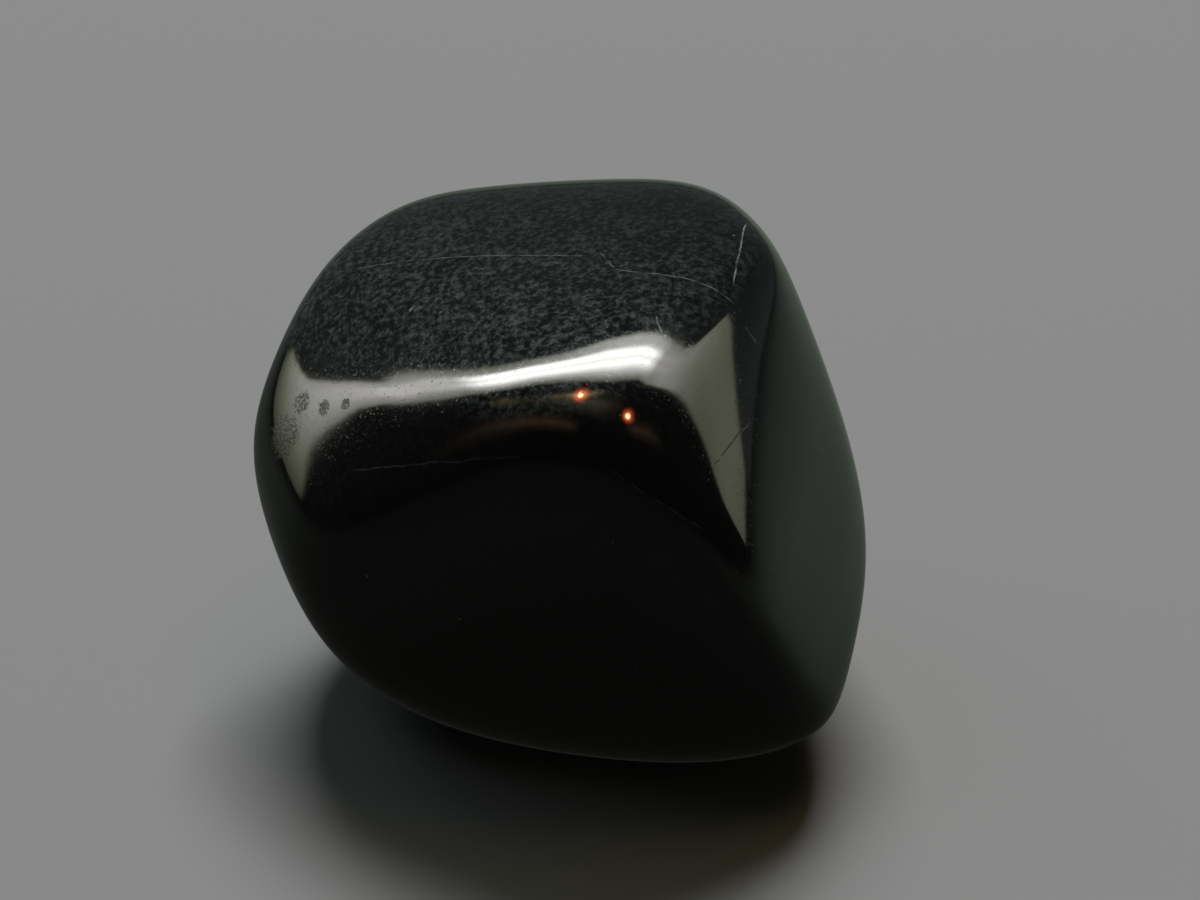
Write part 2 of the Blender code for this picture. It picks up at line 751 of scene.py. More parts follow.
WEAR_ROUNDS = 12  # each round moves every point of the ball much closer to the surface
ROUGH_RADIUS = 20.0 * MM  # of the ball that the stone is worn from, outside all its surface
NET_CUBE = (2.0, 2.0, 2.0)  # the cube whose net is blown into that ball, from -1 to 1 each way
EIGHTH_TURN = math.pi / 4.0  # from the middle of its face to the edge, so that the net spreads evenly
SWELL_DETAIL = 1.0


def worn_face_tree():
    """Node group: how much one worn face takes off at a point, and that wear times its edge."""
    tree, wiring, given = new_group(
        "Worn Face",
        "GeometryNodeTree",
        inputs=(
            ("Point", "Vector", None),
            ("Look", "Vector", None),
            ("Reach", "Float", USUAL_REACH),
            ("Edge", "Float", USUAL_EDGE),
        ),
        outputs=(("Wear", "Float", None), ("Wear by Edge", "Float", None)),
    )
    height = wiring.vector("DOT_PRODUCT", given["Point"], given["Look"])
    stand_off = wiring.math("MAXIMUM", wiring.math("DIVIDE", height, given["Reach"]), 0.0)
    wear = wiring.math("POWER", stand_off, given["Edge"])
    by_edge = wiring.math("MULTIPLY", wear, given["Edge"])
    wiring.node("NodeGroupOutput", {"Wear": wear, "Wear by Edge": by_edge})
    return tree


def total_wear(wiring, point, given):
    """The wear of all the faces at a point, and that wear weighted by each face's edge."""
    group = worn_face_tree()
    wear = 0.0
    by_edge = 0.0
    for face in FACES:
        inputs = {
            "Point": point,
            "Look": given[face.name + " look"],
            "Reach": given[face.name + " reach"],
            "Edge": given[face.name + " edge"],
        }
        taken = wiring.node("GeometryNodeGroup", inputs, node_tree=group).outputs
        wear = wiring.math("ADD", taken["Wear"], wear)
        by_edge = wiring.math("ADD", taken["Wear by Edge"], by_edge)
    return wear, by_edge


def stone_tree():
    """Geometry Nodes tree that wears a rough ball into the stone and stands it on its flat."""
    inputs = [
        ("Net", "Int", NET),
        ("Rest Depth", "Float", REST_DEPTH),
        ("Swell Height", "Float", SWELL_HEIGHT),
        ("Swell Size", "Float", SWELL_SIZE),
        ("Swell Seed", "Int", SWELL_SEED),
        ("Foot", "Vector", None),
        ("Finish", "Material", None),
    ]
    for face in FACES:
        inputs.append((face.name + " look", "Vector", None))
        inputs.append((face.name + " reach", "Float", USUAL_REACH))
        inputs.append((face.name + " edge", "Float", USUAL_EDGE))
    outputs = (("Geometry", "Geometry", None),)
    tree, wiring, given = new_group("Tumbled Stone", "GeometryNodeTree", inputs, outputs)
    point = wiring.node("GeometryNodeInputPosition").outputs["Position"]

    # A cube's net of points, blown into a ball that is too big everywhere.
    net = given["Net"]
    cube = wiring.node(
        "GeometryNodeMeshCube",
        {"Size": NET_CUBE, "Vertices X": net, "Vertices Y": net, "Vertices Z": net},
    )
    spread = wiring.vector("TANGENT", wiring.scaled(point, EIGHTH_TURN))
    round_net = wiring.scaled(wiring.vector("NORMALIZE", spread), ROUGH_RADIUS)
    ball = wiring.geometry(
        "GeometryNodeSetPosition",
        {"Geometry": cube.outputs["Mesh"], "Position": round_net},
    )

    # Each round moves a point towards the heart until the wear of all the faces is one.
    rounds = wiring.node("GeometryNodeRepeatInput")
    worn = wiring.node("GeometryNodeRepeatOutput")
    rounds.pair_with_output(worn)
    wiring.feed(rounds.inputs["Iterations"], WEAR_ROUNDS)
    wiring.feed(rounds.inputs["Geometry"], ball)
    wear, by_edge = total_wear(wiring, point, given)
    power = wiring.math("DIVIDE", wiring.math("MULTIPLY", wear, -1.0), by_edge)
    closer = wiring.scaled(point, wiring.math("POWER", wear, power))
    after_round = wiring.geometry(
        "GeometryNodeSetPosition",
        {"Geometry": rounds.outputs["Geometry"], "Position": closer},
    )
    wiring.feed(worn.inputs["Geometry"], after_round)

    # Slow swells in the polish, out and in along the surface's normal.
    swell = wiring.node(
        "ShaderNodeTexNoise",
        {
            "Vector": point,
            "W": given["Swell Seed"],
            "Scale": wiring.math("DIVIDE", 1.0, given["Swell Size"]),
            "Detail": SWELL_DETAIL,
        },
        noise_dimensions="4D",
    )
    swing = wiring.math("SUBTRACT", swell.outputs["Fac"], 0.5)
    rise = wiring.math("MULTIPLY", swing, given["Swell Height"])
    normal = wiring.node("GeometryNodeInputNormal").outputs["Normal"]
    swollen = wiring.geometry(
        "GeometryNodeSetPosition",
        {"Geometry": worn.outputs["Geometry"], "Offset": wiring.scaled(normal, rise)},
    )

    # The crown of the underside is pressed up to one level.
    box = wiring.node("GeometryNodeBoundBox", {"Geometry": swollen}).outputs
    level = wiring.math("ADD", wiring.split(box["Min"])["Z"], given["Rest Depth"])
    place = wiring.split(point)
    pressed = wiring.joined(place["X"], place["Y"], wiring.math("MAXIMUM", place["Z"], level))
    flat = wiring.geometry("GeometryNodeSetPosition", {"Geometry": swollen, "Position": pressed})

    # The middle of the foot of the stone's box goes where the frame has it.
    middle = wiring.split(wiring.scaled(wiring.vector("ADD", box["Min"], box["Max"]), 0.5))
    foot = wiring.joined(middle["X"], middle["Y"], level)
    stood = wiring.geometry(
        "GeometryNodeTransform",
        {"Geometry": flat, "Translation": wiring.vector("SUBTRACT", given["Foot"], foot)},
    )
    smooth = wiring.geometry("GeometryNodeSetShadeSmooth", {"Geometry": stood})
    real = wiring.geometry("GeometryNodeRealizeInstances", {"Geometry": smooth})
    finished = wiring.geometry(
        "GeometryNodeSetMaterial",
        {"Geometry": real, "Material": given["Finish"]},
    )
    wiring.node("NodeGroupOutput", {"Geometry": finished})
    return tree


def set_inputs(modifier, values):
    """Sets a Geometry Nodes modifier's inputs by the names of the tree's sockets."""
    for item in modifier.node_group.interface.items_tree:
        if item.item_type == "SOCKET" and item.in_out == "INPUT":
            modifier[item.identifier] = values[item.name]


def worn_stone(name, settings, material):
    """The stone as a plain mesh: what the tree makes, with the modifier left behind."""
    low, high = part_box(NODE)
    values = {
        "Net": settings.net,
        "Rest Depth": settings.rest_depth,
        "Swell Height": settings.swell_height,
        "Swell Size": settings.swell_size,
        "Swell Seed": settings.swell_seed,
        "Foot": ((low.x + high.x) / 2.0, (low.y + high.y) / 2.0, low.z),
        "Finish": material,
    }
    for face in settings.faces:
        values[face.name + " look"] = tuple(unit_vector(face.heading, face.tilt))
        values[face.name + " reach"] = face.reach
        values[face.name + " edge"] = face.edge
    maker = new_object(name + "_maker", bpy.data.meshes.new(name + "_maker"))
    modifier = maker.modifiers.new("Tumbling", "NODES")
    modifier.node_group = stone_tree()
    set_inputs(modifier, values)
    evaluated = maker.evaluated_get(bpy.context.evaluated_depsgraph_get())
    mesh = bpy.data.meshes.new_from_object(evaluated)
    bpy.data.objects.remove(maker)
    mesh.name = name
    return new_object(name, mesh)


# ---------------------------------------------------------------------------------------------
# The stone's finish
# ---------------------------------------------------------------------------------------------


class Pattern(NamedTuple):
    """An uneven pattern all through the rock: the size of its spots in metres, how many times finer
    spots are laid over them, and how strong each of those is next to the last."""

    size: float
    detail: float = 2.0
    roughness: float = 0.5


FLECKS = Pattern(0.3 * MM, detail=3.0, roughness=0.8)
CLOUDS = Pattern(1.6 * MM, detail=3.0)
SMUDGES = Pattern(2.5 * MM, detail=5.0)
RIPPLE = Pattern(0.5 * MM, detail=3.0)
WAVES = Pattern(1.5 * MM, detail=4.0, roughness=0.55)
BREAKS = Pattern(0.5 * MM)
PITS = Pattern(0.12 * MM, detail=3.0, roughness=0.6)

ROCK_IOR = 1.75
FLECK_RIM = 0.4  # level of the fleck pattern where a fleck starts
FLECK_HEART = 0.76  # and where it is as pale as it gets
CLOUD_STRENGTH = 0.16  # how far the clouds shift those levels
# The pale flecks are the rock's own grain, but how thick they lie over the top and towards the front
# left is painted sheen that makes those places paler.
TOP_SHEEN_LOOK = (-0.25, 0.09, 0.965)  # the way up through the top, where the flecks lie thick as painted sheen
TOP_SHEEN_LEVEL = 18.1 * MM  # how far along it the painted sheen over the top starts
TOP_SHEEN_BLEND = 1.0 * MM
FLECKS_OFF_TOP_SHEEN = 0.08  # share of the flecks that the rock below the painted sheen of the top has
SHEEN_SLOPE_LOOK = (-0.5, -0.87, 0.0)  # the way in which the flecks lie thicker, as painted sheen towards the front left
SHEEN_SLOPE_FROM = -7.0 * MM  # how far along it they start to thicken
SHEEN_SLOPE_TO = 6.0 * MM
SHEEN_SLOPE_LOW_SHARE = 0.22  # of the flecks is left at the thin end
SPECK_SPACING = 1.3 * MM
SPECK_RADIUS = 0.06 * MM
SPECK_FADE = 0.5  # share of a speck's radius at which it starts to fade
NO_SPECK = 0.3  # share of the places that have none
WAVE_HEIGHT = 0.18 * MM  # how far a hairline wanders off its plane
LINE_GONE = 0.3  # level of the break pattern up to which a hairline is gone
LINE_WHOLE = 0.6  # and from which it is all there
LINE_FADE = 0.8  # share of a hairline's half length at which it starts to fade
PATCH_FADE = 0.5  # share of a patch's radius at which it starts to fade
PIT_RIM = 0.6  # level of the pit pattern where a pit starts
PIT_HEART = 0.92  # and where it is as deep as it gets
PATCH_STRENGTH = 0.26  # how far a patch of pits shifts those levels
DEEPEST_PIT = 0.65  # share of the polish that is gone in the middle of a pit
ROUGH_ROCK = 0.55  # roughness in a pit or a crack, where the polish doesn't reach
PIT_DEPTH = 0.004 * MM


def patch_group():
    """Node group: 1 inside a ball, fading to 0 over the outer part of it."""
    tree, wiring, given = new_group(
        "Patch",
        "ShaderNodeTree",
        inputs=(("Point", "Vector", None), ("Middle", "Vector", None), ("Radius", "Float", 1.0 * MM)),
        outputs=(("Mask", "Float", None),),
    )
    away = wiring.vector("DISTANCE", given["Point"], given["Middle"])
    mask = wiring.ramp(away, given["Radius"], wiring.math("MULTIPLY", given["Radius"], PATCH_FADE))
    wiring.node("NodeGroupOutput", {"Mask": mask})
    return tree


def hairline_group():
    """Node group: a wavy, broken line where a plane meets the surface, as far as it reaches."""
    tree, wiring, given = new_group(
        "Hairline",
        "ShaderNodeTree",
        inputs=(
            ("Point", "Vector", None),
            ("Middle", "Vector", None),
            ("Look", "Vector", None),
            ("Half Length", "Float", 1.0 * MM),
            ("Width", "Float", 0.05 * MM),
            ("Pale", "Float", 1.0),
            ("Open", "Float", 1.0),
        ),
        outputs=(("Pale", "Float", None), ("Open", "Float", None)),
    )
    apart = wiring.vector("SUBTRACT", given["Point"], given["Middle"])
    waves = wiring.math("SUBTRACT", wiring.noise(given["Point"], WAVES), 0.5)
    wave = wiring.math("MULTIPLY", waves, 2.0 * WAVE_HEIGHT)
    height = wiring.math("ADD", wiring.vector("DOT_PRODUCT", apart, given["Look"]), wave)
    line = wiring.ramp(wiring.math("ABSOLUTE", height), given["Width"], 0.0)
    kept = wiring.ramp(wiring.noise(given["Point"], BREAKS), LINE_GONE, LINE_WHOLE)
    away = wiring.vector("LENGTH", apart)
    fading = wiring.math("MULTIPLY", given["Half Length"], LINE_FADE)
    reached = wiring.ramp(away, given["Half Length"], fading)
    whole = wiring.math("MULTIPLY", wiring.math("MULTIPLY", line, kept), reached)
    pale = wiring.math("MULTIPLY", whole, given["Pale"])
    wiring.node("NodeGroupOutput", {"Pale": pale, "Open": wiring.math("MULTIPLY", whole, given["Open"])})
    return tree


def place_mm(middle):
    """A place given in millimetres, in metres."""
    return tuple(length * MM for length in middle)


def crack_masks(wiring, point):
    """All the hairline cracks: where they are pale, and where they break the polish."""
    group = hairline_group()
    pale = 0.0
    broken = 0.0
    for crack in HAIRLINES:
        inputs = {
            "Point": point,
            "Middle": place_mm(crack.middle),
            "Look": tuple(unit_vector(math.radians(crack.heading), math.radians(crack.tilt))),
            "Half Length": crack.half_length * MM,
            "Width": crack.width * MM,
            "Pale": crack.pale,
            "Open": crack.open,
        }
        line = wiring.node("ShaderNodeGroup", inputs, node_tree=group).outputs
        pale = wiring.math("MAXIMUM", line["Pale"], pale)
        broken = wiring.math("MAXIMUM", line["Open"], broken)
    return pale, broken


def pit_mask(wiring, point):
    """The tiny pits: ragged spots, close together in the patches and rare elsewhere."""
    group = patch_group()
    crowd = 0.0
    for patch in PIT_PATCHES:
        inputs = {"Point": point, "Middle": place_mm(patch.middle), "Radius": patch.radius * MM}
        ball = wiring.node("ShaderNodeGroup", inputs, node_tree=group)
        crowd = wiring.math("MAXIMUM", ball.outputs["Mask"], crowd)
    spots = wiring.noise(point, PITS)
    crowded = wiring.math("MULTIPLY_ADD", crowd, PATCH_STRENGTH, spots)
    return wiring.math("MULTIPLY", wiring.ramp(crowded, PIT_RIM, PIT_HEART), DEEPEST_PIT)


def speck_mask(wiring, point):
    """Rare bright specks, each a small ball at a random place in the rock."""
    cells = wiring.node(
        "ShaderNodeTexVoronoi",
        {"Vector": point, "Scale": 1.0 / SPECK_SPACING, "Randomness": 1.0},
    )
    rim = SPECK_RADIUS / SPECK_SPACING
    near = wiring.ramp(cells.outputs["Distance"], rim, SPECK_FADE * rim)
    shares = wiring.node("ShaderNodeSeparateColor", {"Color": cells.outputs["Color"]})
    return wiring.math("MULTIPLY", near, wiring.ramp(shares.outputs["Red"], NO_SPECK, 1.0))


def polished_shungite(settings):
    """Carbon-black rock with a glassy polish, pale flecks, hairline cracks, specks and pits."""
    material = bpy.data.materials.new(SLOT)
    material.use_nodes = True
    tree = material.node_tree
    shader = tree.nodes["Principled BSDF"]
    shader.inputs["IOR"].default_value = ROCK_IOR
    wiring = Wiring(tree)
    point = wiring.node("ShaderNodeTexCoord").outputs["Object"]

    # The rock: black with tiny pale flecks of its own grain, thicker in some clouds. The flecks also lie
    # far thicker over the top and thicker towards the front left, which is painted sheen.
    grain = wiring.noise(point, FLECKS)
    clouds = wiring.noise(point, CLOUDS)
    crowding = wiring.math("MULTIPLY_ADD", clouds, CLOUD_STRENGTH, -0.5 * CLOUD_STRENGTH)
    flecks = wiring.ramp(wiring.math("ADD", grain, crowding), FLECK_RIM, FLECK_HEART)
    depth = wiring.math("SUBTRACT", wiring.vector("DOT_PRODUCT", point, TOP_SHEEN_LOOK), TOP_SHEEN_LEVEL)
    top_sheen_share = wiring.math("MULTIPLY_ADD", wiring.ramp(depth, 0.0, TOP_SHEEN_BLEND), 1.0 - FLECKS_OFF_TOP_SHEEN, FLECKS_OFF_TOP_SHEEN)
    along = wiring.ramp(wiring.vector("DOT_PRODUCT", point, SHEEN_SLOPE_LOOK), SHEEN_SLOPE_FROM, SHEEN_SLOPE_TO)
    slope_sheen_share = wiring.math("MULTIPLY_ADD", along, 1.0 - SHEEN_SLOPE_LOW_SHARE, SHEEN_SLOPE_LOW_SHARE)
    grain_and_painted_sheen = wiring.math("MULTIPLY", flecks, wiring.math("MULTIPLY", top_sheen_share, slope_sheen_share))
    rock = wiring.mixed_colour(grain_and_painted_sheen, settings.rock, settings.grain)

    cracks, open_cracks = crack_masks(wiring, point)
    pits = pit_mask(wiring, point)
    specks = speck_mask(wiring, point)
    pale = wiring.math("MAXIMUM", cracks, specks)
    dusty = wiring.mixed_colour(pale, rock, settings.seam)
    wiring.feed(shader.inputs["Base Color"], wiring.mixed_colour(pits, dusty, settings.pit))

    # The polish: faintly smudged, and gone in the pits and cracks.
    smudge = wiring.math("SUBTRACT", wiring.noise(point, SMUDGES), 0.5)
    spread = wiring.math("MULTIPLY", smudge, settings.smudges)
    open_rock = wiring.math("MAXIMUM", open_cracks, pits)
    gap = wiring.math("SUBTRACT", ROUGH_ROCK, settings.polish)
    polish = wiring.math("ADD", spread, settings.polish)
    wiring.feed(shader.inputs["Roughness"], wiring.math("MULTIPLY_ADD", open_rock, gap, polish))

    # The relief: a fine ripple, with the pits and cracks sunk into it.
    raised = wiring.math("MULTIPLY", wiring.noise(point, RIPPLE), settings.ripple_height)
    height = wiring.math("MULTIPLY_ADD", open_rock, -PIT_DEPTH, raised)
    bump = wiring.node("ShaderNodeBump", {"Strength": 1.0, "Distance": 1.0, "Height": height})
    wiring.feed(shader.inputs["Normal"], bump.outputs["Normal"])
    return material


# ---------------------------------------------------------------------------------------------
# The studio
# ---------------------------------------------------------------------------------------------

BLACK = (0.0, 0.0, 0.0)
FLOOR_RADIUS = 2.0
FLOOR_SIDES = 96
FLOOR_ROUGHNESS = 0.9
SKY_RADIUS = 0.6  # of the arch of light and the backdrop, hung round the stone
STREAK_RADIUS = 0.98 * SKY_RADIUS  # the streaks hang just inside the arch
HALO_RADIUS = 0.95 * SKY_RADIUS  # and the halos just inside the streaks
BULB_DISTANCE = 0.5
LAMP_DISTANCE = 1.5
SIDE_ELEVATION = 48.0
SIDE_AZIMUTH = 154.0
SIDE_SIZE = 0.9
SIDE_COLOUR = (0.75, 1.0, 1.0)
CEILING_ELEVATION = 73.0
CEILING_AZIMUTH = 31.0
CEILING_RADIUS = 0.25
CEILING_COLOUR = (1.0, 0.7, 0.28)
CARD_LIFT = 0.05 * MM
CARD_SPOKES = 72
NEAREST_SEEN = 1.0 * MM  # nothing closer to the camera than this shows
BACKDROP_FOOT = -3.0  # degrees above the floor's level
BACKDROP_GLOWS = (0.055, 0.058, 0.062, 0.068, 0.078, 0.088, 0.1, 0.12)  # from its top to its foot
BACKDROP_SHARES = ((0.0, 1.15), (0.7, 0.7), (0.85, 1.15), (1.0, 2.0))  # of them, left to right
FULL_GLOW = 3.2  # a glow of this much or more has the bright colour and not the dim one


def plain_material(name, colour, roughness):
    """An even, matt colour."""
    material = bpy.data.materials.new(name)
    material.use_nodes = True
    shader = material.node_tree.nodes["Principled BSDF"]
    shader.inputs["Base Color"].default_value = (*colour, 1.0)
    shader.inputs["Roughness"].default_value = roughness
    return material


def finished_mesh(name, shape):
    """Turns a shape that is drawn up into a mesh, and frees the shape."""
    mesh = bpy.data.meshes.new(name)
    shape.to_mesh(mesh)
    shape.free()
    return mesh


def woven_mesh(name, levels, rows, closed=False):
    """A sheet woven from rows of points, each a place and its value for each of the named levels.
    Closed rows run round to their own start."""
    sheet = bmesh.new()
    layers = [sheet.verts.layers.float.new(level) for level in levels]
    made = []
    for row in rows:
        verts = []
        for place, *values in row:
            vert = sheet.verts.new(place)
            for layer, value in zip(layers, values):
                vert[layer] = value
            verts.append(vert)
        made.append(verts + verts[:1] if closed else verts)
    for low, high in zip(made, made[1:]):
        for index in range(len(low) - 1):
            sheet.faces.new((low[index], low[index + 1], high[index + 1], high[index]))
    return finished_mesh(name, sheet)


def stage_piece(name, mesh, material):
    """Puts a mesh in the scene as part of the studio."""
    mesh.materials.append(material)
    piece = new_object(name, mesh)
    return piece


def show_only_in_polish(piece):
    """Leaves a piece to the polish alone: the camera and matt surfaces don't see it, and it casts
    no shadow."""
    piece.visible_camera = False
    piece.visible_diffuse = False
    piece.visible_shadow = False


def make_floor(settings):
    """A round floor, wide enough to reach past every view."""
    disc = bmesh.new()
    bmesh.ops.create_circle(disc, cap_ends=True, segments=FLOOR_SIDES, radius=FLOOR_RADIUS)
    paper = plain_material("floor_paper", settings.floor, FLOOR_ROUGHNESS)
    stage_piece("floor", finished_mesh("floor", disc), paper)


def between(start, end, share):
    """The number that lies this share of the way from the start to the end."""
    return start + (end - start) * share


def level_at(stops, place):
    """The level at a place between stops, each a place and a level."""
    for (start, start_level), (end, end_level) in zip(stops, stops[1:]):
        if place <= end:
            return between(start_level, end_level, (place - start) / (end - start))
    return stops[-1][1]


def painted_reflection_card_material(settings):
    """Matt paper as pale as its paleness attribute says, which is a painted reflection of the floor with
    painted shade before the stone, and glowing as strongly as its glow attribute says, which is a
    painted reflection of the dim room.
    """
    material = plain_material("painted_reflection_paper", BLACK, 1.0)
    material.cycles.emission_sampling = "NONE"
    shader = material.node_tree.nodes["Principled BSDF"]
    shader.inputs["Specular IOR Level"].default_value = 0.0
    shader.inputs["Emission Color"].default_value = (*settings.mirrored_room, 1.0)
    wiring = Wiring(material.node_tree)
    paper = wiring.mixed_colour(wiring.attribute("paper_and_painted_shade"), BLACK, settings.painted_reflection_tint)
    wiring.feed(shader.inputs["Base Color"], paper)
    wiring.feed(shader.inputs["Emission Strength"], wiring.attribute("painted_room_glow"))
    return material


def make_painted_reflection_card(settings):
    """A round card on the floor that shows only in the polish: a painted reflection of the floor, with
    painted shade dark before the stone. Its rings run from the rim inwards, so that it faces up."""
    rows = []
    for ring in reversed(PAINTED_REFLECTION_RINGS):
        row = []
        for spoke in range(CARD_SPOKES):
            azimuth = -180.0 + 360.0 * spoke / CARD_SPOKES
            way = unit_vector(math.radians(azimuth), math.pi / 2.0)
            place = way * ring.radius * MM + Vector((0.0, 0.0, CARD_LIFT))
            row.append((place, level_at(PAINTED_REFLECTION_WEDGES, azimuth) * ring.pale, ring.painted_room_glow))
        rows.append(row)
    mesh = woven_mesh("painted_reflection_card", ("paper_and_painted_shade", "painted_room_glow"), rows, closed=True)
    show_only_in_polish(stage_piece("painted_reflection_card", mesh, painted_reflection_card_material(settings)))


def glow_material(name, dim, bright, see_through=False):
    """Light as strong as the piece's own glow attribute says, dim-coloured where it is faint. If it
    is see-through, its light is added to what lies behind it."""
    material = bpy.data.materials.new(name)
    material.use_nodes = True
    material.cycles.emission_sampling = "NONE"
    tree = material.node_tree
    tree.nodes.clear()
    wiring = Wiring(tree)
    glow = wiring.attribute("glow")
    colour = wiring.mixed_colour(wiring.ramp(glow, 0.0, FULL_GLOW), dim, bright)
    surface = wiring.node("ShaderNodeEmission", {"Color": colour, "Strength": glow}).outputs[0]
    if see_through:
        clear = wiring.node("ShaderNodeBsdfTransparent").outputs[0]
        surface = wiring.node("ShaderNodeAddShader", {0: surface, 1: clear}).outputs[0]
    wiring.node("ShaderNodeOutputMaterial", {"Surface": surface})
    return material


def sky_way(elevation, azimuth):
    """The unit vector towards a point of the sky, given in degrees."""
    return unit_vector(math.radians(azimuth), math.radians(90.0 - elevation))


def steps_between(stops, count):
    """Each stop with the next one, and each of the even steps from the first to the second."""
    for earlier, later in zip(stops, stops[1:]):
        for step in range(count):
            yield earlier, later, step / count


def arch_edges():
    """Far edge, near edge and the three glows of every rib and of the steps between them."""
    edges = []
    for rib in ARCH:
        far = sky_way(rib.far_elevation, rib.far_azimuth)
        near = sky_way(rib.near_elevation, rib.near_azimuth)
        edges.append((far, near, (rib.core, rib.far_rim, rib.near_rim)))
    filled = []
    for earlier, later, share in steps_between(edges, STEPS_BETWEEN_RIBS):
        far = earlier[0].slerp(later[0], share)
        near = earlier[1].slerp(later[1], share)
        glows = [between(start, end, share) for start, end in zip(earlier[2], later[2])]
        filled.append((far, near, glows))
    return filled + edges[-1:]


def glowing_sheet(name, rows, material, radius=SKY_RADIUS):
    """A stage piece of rows of points, each a direction and a glow, hung round the stone."""
    hung = [[(way * radius, glow) for way, glow in row] for row in rows]
    show_only_in_polish(stage_piece(name, woven_mesh(name, ("glow",), hung), material))


def make_arch(settings):
    """An arch of soft light over the stone, from one side wall up overhead to the other."""
    rows = []
    for far, near, (core, far_rim, near_rim) in arch_edges():
        row = []
        for stop in ACROSS:
            rim = between(far_rim, near_rim, stop.place)
            glow = between(rim, core, stop.core) * stop.left * settings.glow
            row.append((far.slerp(near, stop.place), glow))
        rows.append(row)
    glowing_sheet("arch_light", rows, glow_material("arch_glow", settings.wall, settings.tube))


def make_backdrop(settings):
    """A dim screen behind the stone, from the far edge of the arch down to the floor."""
    rows = []
    edges = arch_edges()
    last = len(BACKDROP_GLOWS) - 1
    for index, (far, _, _) in enumerate(edges):
        share = index / (len(edges) - 1)
        foot = sky_way(BACKDROP_FOOT, between(ARCH[0].far_azimuth, ARCH[-1].far_azimuth, share))
        strength = level_at(BACKDROP_SHARES, share)
        row = []
        for step, glow in enumerate(BACKDROP_GLOWS):
            row.append((far.slerp(foot, step / last), glow * strength))
        rows.append(row)
    glowing_sheet("backdrop", rows, glow_material("backdrop_glow", settings.backdrop, settings.backdrop))


def streak_points(ways):
    """Direction and glow along a streak, with steps between the ways that it is given by."""
    given = [(sky_way(elevation, azimuth), glow) for elevation, azimuth, glow in ways]
    points = []
    for (start, start_glow), (end, end_glow), share in steps_between(given, STEPS_BETWEEN_WAYS):
        points.append((start.slerp(end, share), between(start_glow, end_glow, share)))
    return points + given[-1:]


def make_streak(streak):
    """One soft streak of warm light, brightest along its middle."""
    points = streak_points(streak.ways)
    reach = math.tan(math.radians(streak.half_width))
    rows = []
    for index, (way, glow) in enumerate(points):
        before = points[max(index - 1, 0)][0]
        after = points[min(index + 1, len(points) - 1)][0]
        aside = way.cross(after - before).normalized()
        row = []
        for off, share in STREAK_ACROSS:
            row.append(((way + aside * reach * off).normalized(), glow * share))
        rows.append(row)
    material = glow_material(streak.name + "_glow", streak.colour, streak.colour, see_through=True)
    glowing_sheet(streak.name, rows, material, radius=STREAK_RADIUS)


def make_halo(name, bulb):
    """The soft red glow round a bulb."""
    middle = sky_way(bulb.elevation, bulb.azimuth)
    aside = middle.orthogonal().normalized()
    across = middle.cross(aside)
    rows = []
    for share, glow in HALO_RINGS:
        reach = math.tan(math.radians(bulb.halo * share))
        row = []
        for spoke in range(HALO_SPOKES + 1):
            angle = 2.0 * math.pi * spoke / HALO_SPOKES
            off = aside * math.cos(angle) + across * math.sin(angle)
            row.append(((middle + off * reach).normalized(), glow))
        rows.append(row)
    material = glow_material(name + "_glow", HALO_COLOUR, HALO_COLOUR, see_through=True)
    glowing_sheet(name, rows, material, radius=HALO_RADIUS)


def make_lamp(name, kind, way, distance, power, colour):
    """A lamp that shines at the stone from one way, and that the camera doesn't see."""
    data = bpy.data.lights.new(name, kind)
    data.energy = power
    data.color = colour
    lamp = new_object(name, data)
    lamp.location = way * distance
    lamp.rotation_euler = way.to_track_quat("Z", "Y").to_euler()
    lamp.visible_camera = False
    return lamp


def make_soft_lamp(name, way, power, colour, width, depth):
    """A lamp with a broad face, for matt surfaces alone: the arch stands in for it in the polish."""
    lamp = make_lamp(name, "AREA", way, LAMP_DISTANCE, power, colour)
    lamp.data.shape = "RECTANGLE"
    lamp.data.size = width
    lamp.data.size_y = depth
    lamp.visible_glossy = False


def make_lamps(settings):
    """A soft key lamp high behind the stone, a cool one to its left, a warm one over it and the
    bulbs."""
    make_soft_lamp(
        "key_lamp",
        unit_vector(settings.key_azimuth, math.pi / 2.0 - settings.key_elevation),
        settings.key_power,
        settings.key_colour,
        settings.key_width,
        settings.key_depth,
    )
    side = sky_way(SIDE_ELEVATION, SIDE_AZIMUTH)
    make_soft_lamp("side_lamp", side, settings.side_power, SIDE_COLOUR, SIDE_SIZE, SIDE_SIZE)
    ceiling = make_lamp(
        "ceiling_lamp",
        "POINT",
        sky_way(CEILING_ELEVATION, CEILING_AZIMUTH),
        LAMP_DISTANCE,
        settings.ceiling_power,
        CEILING_COLOUR,
    )
    ceiling.data.shadow_soft_size = CEILING_RADIUS
    ceiling.visible_glossy = False
    for number, bulb in enumerate(BULBS, start=1):
        lamp = make_lamp(
            f"warm_bulb_{number}",
            "POINT",
            sky_way(bulb.elevation, bulb.azimuth),
            BULB_DISTANCE,
            bulb.power,
            settings.bulb_colour,
        )
        lamp.data.shadow_soft_size = bulb.radius
        lamp.visible_diffuse = False
        make_halo(f"halo_{number}", bulb)


def make_room(settings):
    """The room round the studio: dim where it lights the stone, pale where it is looked at."""
    world = bpy.data.worlds.new("room")
    world.use_nodes = True
    tree = world.node_tree
    wiring = Wiring(tree)
    ray = wiring.node("ShaderNodeLightPath").outputs
    dim = wiring.mixed_colour(ray["Is Glossy Ray"], settings.room, settings.mirrored_room)
    colour = wiring.mixed_colour(ray["Is Camera Ray"], dim, settings.surround)
    wiring.feed(tree.nodes["Background"].inputs["Color"], colour)
    bpy.context.scene.world = world


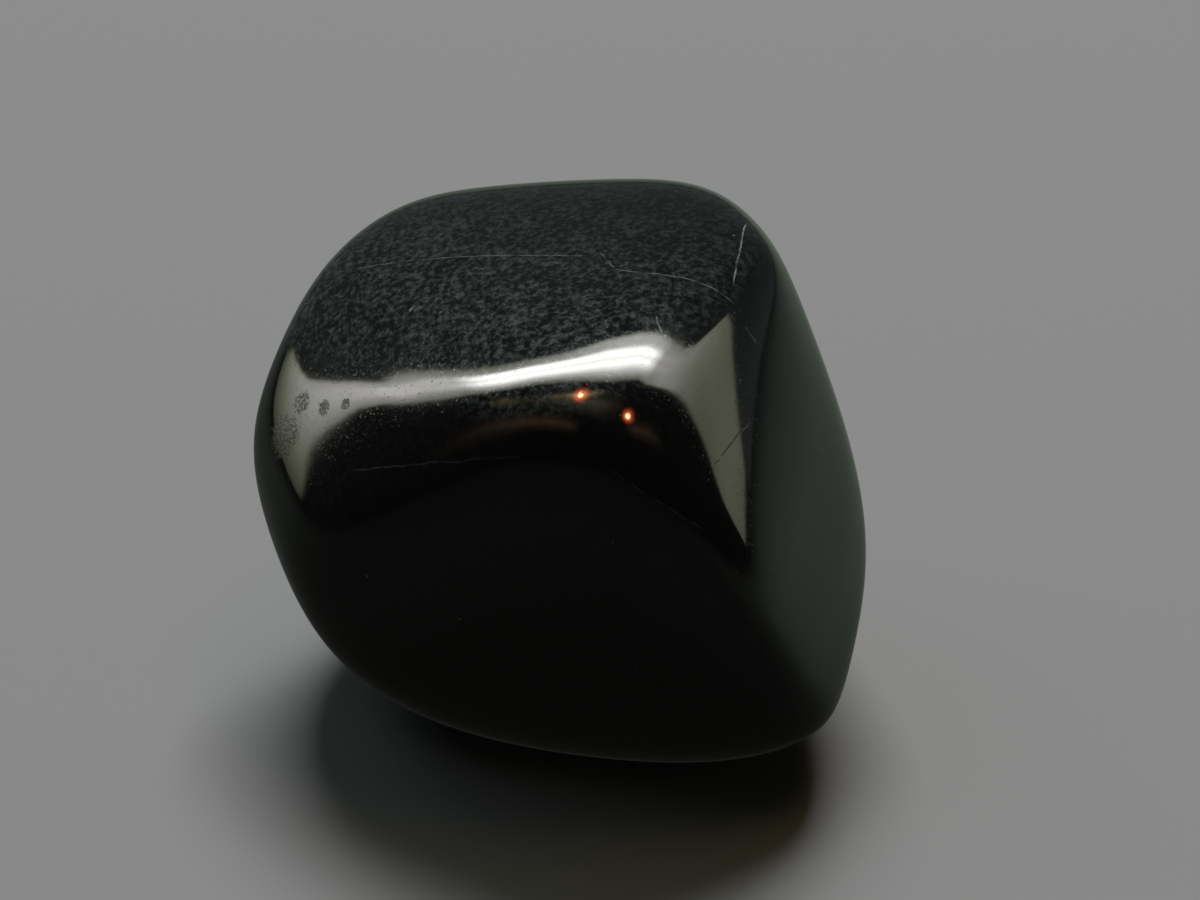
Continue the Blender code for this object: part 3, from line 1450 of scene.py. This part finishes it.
def make_camera(settings):
    """A camera that looks along +Y and down at the stone."""
    data = bpy.data.cameras.new("camera")
    data.lens = settings.lens
    data.clip_start = NEAREST_SEEN
    camera = new_object("camera", data)
    back = Vector((0.0, -math.cos(settings.elevation), math.sin(settings.elevation)))
    camera.location = Vector(settings.aim) + back * settings.distance
    camera.rotation_euler = (math.pi / 2.0 - settings.elevation, 0.0, 0.0)
    bpy.context.scene.camera = camera


# ---------------------------------------------------------------------------------------------
# Operators and the panel
# ---------------------------------------------------------------------------------------------


class SHUNGITE_OT_add_stone(bpy.types.Operator):
    """Wears the stone into shape and gives it its polish"""

    bl_idname = "shungite.add_stone"
    bl_label = "Polished Stone"

    def execute(self, context):
        settings = context.scene.shungite_stone
        if not settings.faces:
            lay_out_faces(settings)
        stone = worn_stone("tumbled_stone", settings, polished_shungite(context.scene.shungite_finish))
        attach(stone, "root")
        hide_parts(NODE)
        return {"FINISHED"}


class SHUNGITE_OT_add_studio(bpy.types.Operator):
    """Adds the floor, the lights, the dim room and the camera"""

    bl_idname = "shungite.add_studio"
    bl_label = "Studio"

    def execute(self, context):
        settings = context.scene.shungite_studio
        make_floor(settings)
        make_painted_reflection_card(settings)
        make_arch(settings)
        make_backdrop(settings)
        for streak in STREAKS:
            make_streak(streak)
        make_lamps(settings)
        make_room(settings)
        make_camera(settings)
        context.scene.view_settings.view_transform = "Standard"
        return {"FINISHED"}


class SHUNGITE_PT_sidebar(bpy.types.Panel):
    """Lists the stone and the studio with what can be changed"""

    bl_idname = "SHUNGITE_PT_sidebar"
    bl_label = "Tumbled Shungite"
    bl_space_type = "VIEW_3D"
    bl_region_type = "UI"
    bl_category = "Shungite"

    def draw(self, context):
        layout = self.layout
        for operator, owners in PANEL_ROWS:
            layout.operator(operator)
            for owner in owners:
                settings = getattr(context.scene, owner)
                for name in type(settings).__annotations__:
                    if name != "faces":
                        layout.prop(settings, name)


PANEL_ROWS = (
    ("shungite.add_stone", ("shungite_stone", "shungite_finish")),
    ("shungite.add_studio", ("shungite_studio",)),
)

CLASSES = (
    WornFaceSettings,
    StoneSettings,
    FinishSettings,
    StudioSettings,
    SHUNGITE_OT_add_stone,
    SHUNGITE_OT_add_studio,
    SHUNGITE_PT_sidebar,
)


def lay_out_faces(settings):
    """Fills the list of worn faces with the ones that this stone has."""
    for face in FACES:
        entry = settings.faces.add()
        entry.name = face.name
        entry.heading = math.radians(face.heading)
        entry.tilt = math.radians(face.tilt)
        entry.reach = face.reach * MM
        entry.edge = face.edge


def register():
    for kind in CLASSES:
        bpy.utils.register_class(kind)
    bpy.types.Scene.shungite_stone = PointerProperty(type=StoneSettings)
    bpy.types.Scene.shungite_finish = PointerProperty(type=FinishSettings)
    bpy.types.Scene.shungite_studio = PointerProperty(type=StudioSettings)


def unregister():
    del bpy.types.Scene.shungite_studio
    del bpy.types.Scene.shungite_finish
    del bpy.types.Scene.shungite_stone
    for kind in reversed(CLASSES):
        bpy.utils.unregister_class(kind)


def main():
    register()
    bpy.ops.shungite.add_stone()
    bpy.ops.shungite.add_studio()


if __name__ == "__main__":
    main()
